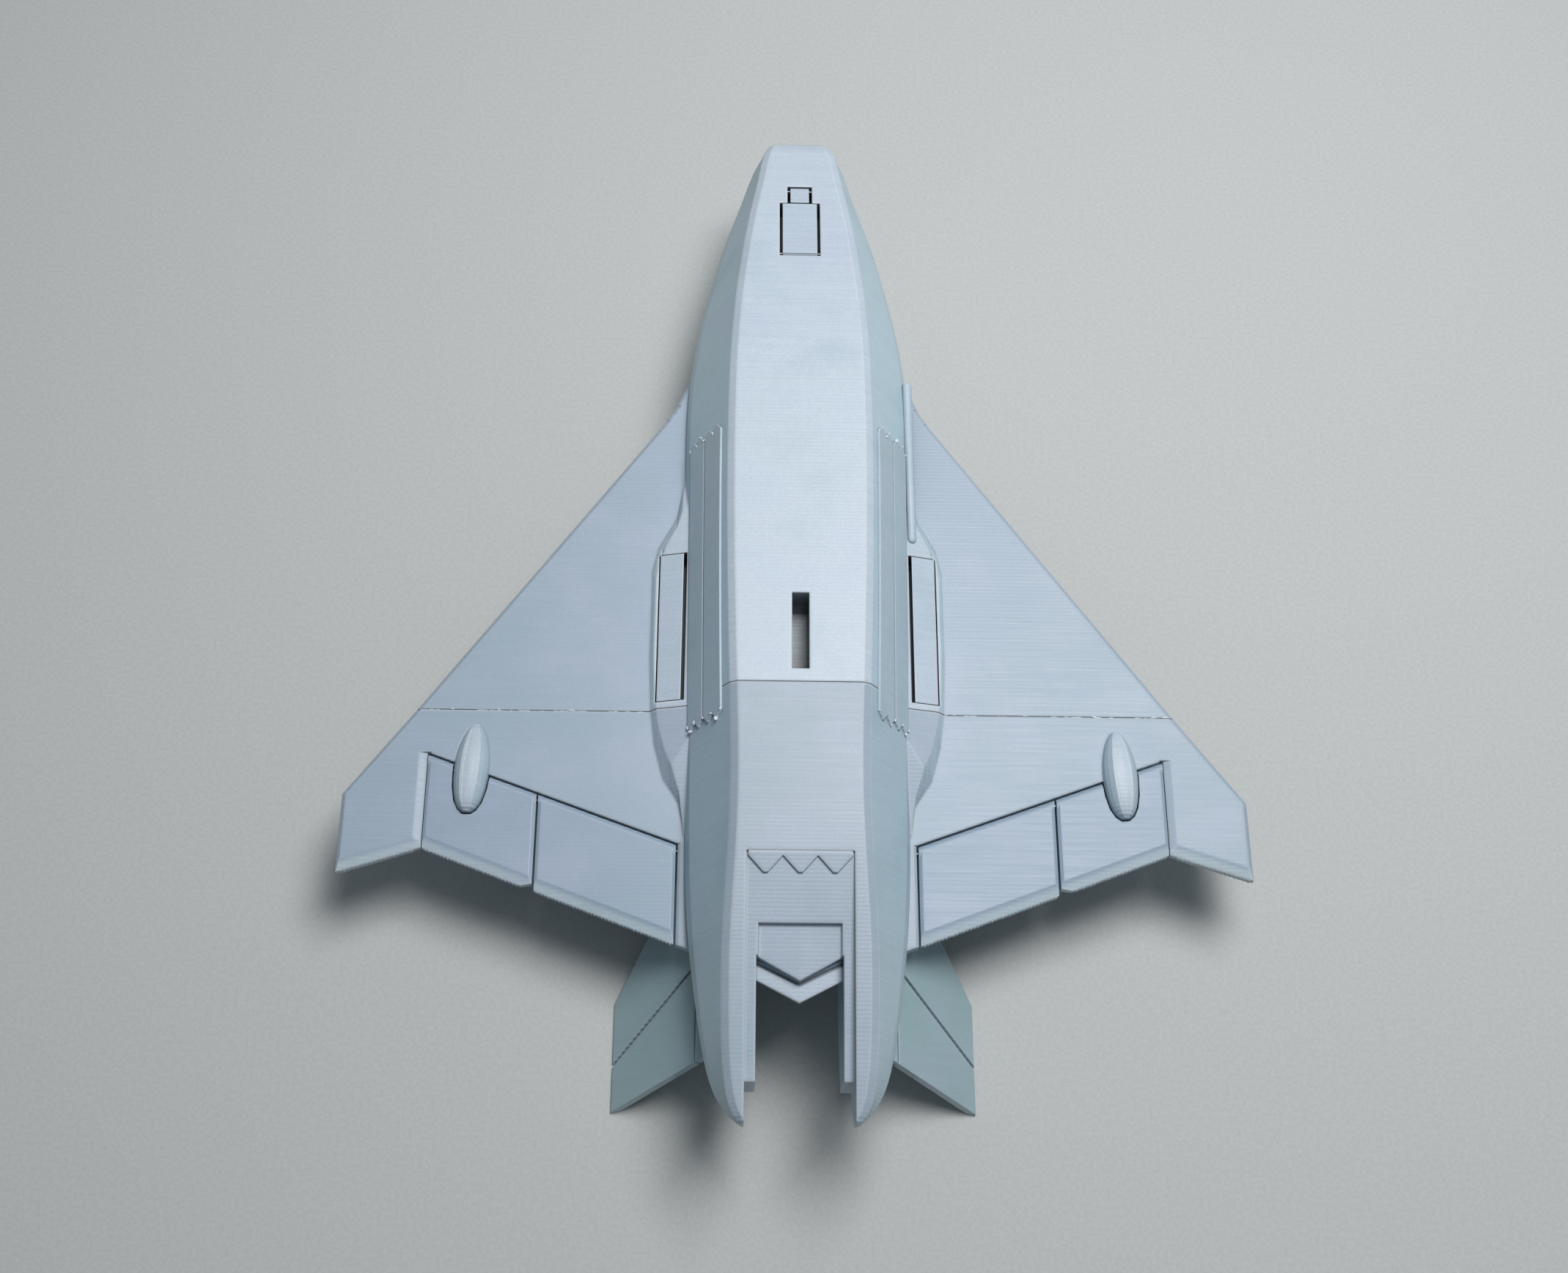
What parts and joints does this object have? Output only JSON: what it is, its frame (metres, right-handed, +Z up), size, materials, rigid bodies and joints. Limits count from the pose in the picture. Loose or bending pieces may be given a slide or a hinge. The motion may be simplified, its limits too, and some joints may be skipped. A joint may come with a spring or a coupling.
{
  "type": "printed display model of a delta-wing jet",
  "caption": "Desk display model of a tailless delta-wing jet, lying on its back, with hinged elevons, rudders and gear doors, and a slot in its belly for a stand.",
  "frame": {"origin": "middle of the footprint, on the floor that the fin tips and the canopy rest on, with the model lying on its back", "axes": "+Y towards the nose, +Z up, which is the belly side, +X to the viewer's right when the belly is seen with the nose up"},
  "size_m": [0.1378, 0.1644, 0.03],
  "materials": {
    "printed_plastic": "pale blue-grey PLA, printed in fine layers, satin on the ridges",
    "thin_print": "the same PLA in thin sheets, a little greener where light passes through",
    "dowel_plastic": "PLA filament, plain",
    "hinge_wire": "drawn steel wire"
  },
  "bodies": {
    "airframe": {"canopy": "printed_plastic", "dorsal_nozzle_lip": "printed_plastic", "front_section": "printed_plastic", "fuselage_dowels": "dowel_plastic", "gun_fairing": "printed_plastic", "left_elevon_wire": "hinge_wire", "left_fin": "thin_print", "left_gear_door_wire": "hinge_wire", "left_hinge_fairing": "printed_plastic", "left_intake": "printed_plastic", "left_lower_bay_panel": "printed_plastic", "left_rudder_wire": "hinge_wire", "left_upper_bay_panel": "printed_plastic", "nose_front_door_wire": "hinge_wire", "nose_rear_door_wire": "hinge_wire", "rear_section": "printed_plastic", "right_elevon_wire": "hinge_wire", "right_fin": "thin_print", "right_gear_door_wire": "hinge_wire", "right_hinge_fairing": "printed_plastic", "right_intake": "printed_plastic", "right_lower_bay_panel": "printed_plastic", "right_rudder_wire": "hinge_wire", "right_upper_bay_panel": "printed_plastic", "serrated_strip": "printed_plastic", "ventral_nozzle_lip": "printed_plastic", "wing_dowels": "dowel_plastic"},
    "right_inner_elevon_body": {"right_inner_elevon": "printed_plastic"},
    "right_outer_elevon_body": {"right_outer_elevon": "printed_plastic"},
    "right_rudder_body": {"right_rudder": "thin_print"},
    "right_gear_door_body": {"right_gear_door": "printed_plastic"},
    "left_inner_elevon_body": {"left_inner_elevon": "printed_plastic"},
    "left_outer_elevon_body": {"left_outer_elevon": "printed_plastic"},
    "left_rudder_body": {"left_rudder": "thin_print"},
    "left_gear_door_body": {"left_gear_door": "printed_plastic"},
    "nose_front_door_body": {"nose_gear_front_door": "printed_plastic"},
    "nose_rear_door_body": {"nose_gear_rear_door": "printed_plastic"}
  },
  "joints": [
    {"name": "right_inner_elevon_hinge", "type": "hinge", "parent": "airframe", "child": "right_inner_elevon_body", "pos_m": [0.028, -0.03758, 0.015], "axis": [-0.94, -0.3412, 0], "range_deg": [-13, 13]},
    {"name": "right_outer_elevon_hinge", "type": "hinge", "parent": "airframe", "child": "right_outer_elevon_body", "pos_m": [0.045, -0.03141, 0.015], "axis": [-0.94, -0.3412, 0], "range_deg": [-13, 13]},
    {"name": "right_rudder_hinge", "type": "hinge", "parent": "airframe", "child": "right_rudder_body", "pos_m": [0.021, -0.06492, 0.00585], "axis": [0.5806, -0.598, -0.5526], "range_deg": [-20, 20]},
    {"name": "right_gear_door_hinge", "type": "hinge", "parent": "airframe", "child": "right_gear_door_body", "pos_m": [0.02124, -0.0056, 0.01691], "axis": [0, 1, 0], "range_deg": [0, 85]},
    {"name": "left_inner_elevon_hinge", "type": "hinge", "parent": "airframe", "child": "left_inner_elevon_body", "pos_m": [-0.028, -0.03758, 0.015], "axis": [-0.94, 0.3412, 0], "range_deg": [-13, 13]},
    {"name": "left_outer_elevon_hinge", "type": "hinge", "parent": "airframe", "child": "left_outer_elevon_body", "pos_m": [-0.045, -0.03141, 0.015], "axis": [-0.94, 0.3412, 0], "range_deg": [-13, 13]},
    {"name": "left_rudder_hinge", "type": "hinge", "parent": "airframe", "child": "left_rudder_body", "pos_m": [-0.021, -0.06492, 0.00585], "axis": [-0.5806, -0.598, -0.5526], "range_deg": [-20, 20]},
    {"name": "left_gear_door_hinge", "type": "hinge", "parent": "airframe", "child": "left_gear_door_body", "pos_m": [-0.02124, -0.0056, 0.01691], "axis": [0, -1, 0], "range_deg": [0, 85]},
    {"name": "nose_front_door_hinge", "type": "hinge", "parent": "airframe", "child": "nose_front_door_body", "pos_m": [0, 0.07035, 0.02632], "axis": [-1, 0, 0], "range_deg": [0, 85]},
    {"name": "nose_rear_door_hinge", "type": "hinge", "parent": "airframe", "child": "nose_rear_door_body", "pos_m": [0, 0.05685, 0.02806], "axis": [1, 0, 0], "range_deg": [0, 90]}
  ]
}
